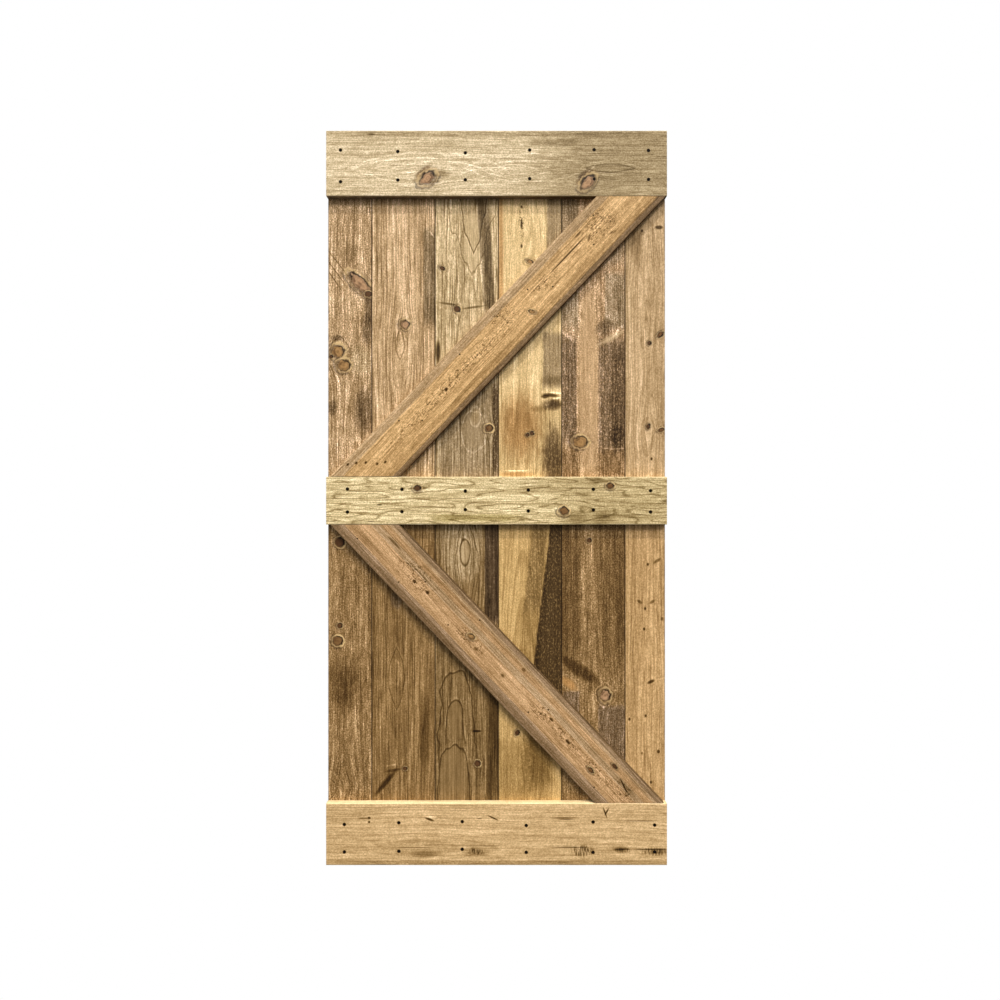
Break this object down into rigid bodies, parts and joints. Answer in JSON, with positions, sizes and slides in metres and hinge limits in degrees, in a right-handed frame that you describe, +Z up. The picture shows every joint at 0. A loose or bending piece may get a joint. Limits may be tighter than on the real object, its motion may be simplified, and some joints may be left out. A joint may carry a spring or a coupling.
{
  "type": "sliding barn door",
  "caption": "Plank barn door slab with horizontal face rails and two diagonal braces forming a K, made to hang from a sliding track.",
  "frame": {"origin": "middle of the slab's bottom edge, at half of its thickness", "axes": "+X to the right seen from the front, +Y from the rails and braces on the front to the planks at the back, +Z up along the height"},
  "size_m": [0.99, 0.038, 2.134],
  "materials": {
    "planks": "weathered brown stain on knotty pine, matt",
    "rails": "pale weathered stain on knotty pine, matt",
    "braces": "pale orange-brown stain on knotty pine, matt",
    "screws": "black oxide, matt",
    "nails": "brown coated steel, matt"
  },
  "bodies": {
    "root": {"plank_1": "planks", "plank_2": "planks", "plank_3": "planks", "plank_4": "planks", "plank_5": "planks", "plank_6": "planks", "top_rail": "rails", "middle_rail": "rails", "bottom_rail": "rails", "upper_brace": "braces", "lower_brace": "braces", "top_rail_screws": "screws", "middle_rail_screws": "screws", "bottom_rail_screws": "screws", "upper_brace_nails": "nails", "lower_brace_nails": "nails"}
  },
  "joints": []
}
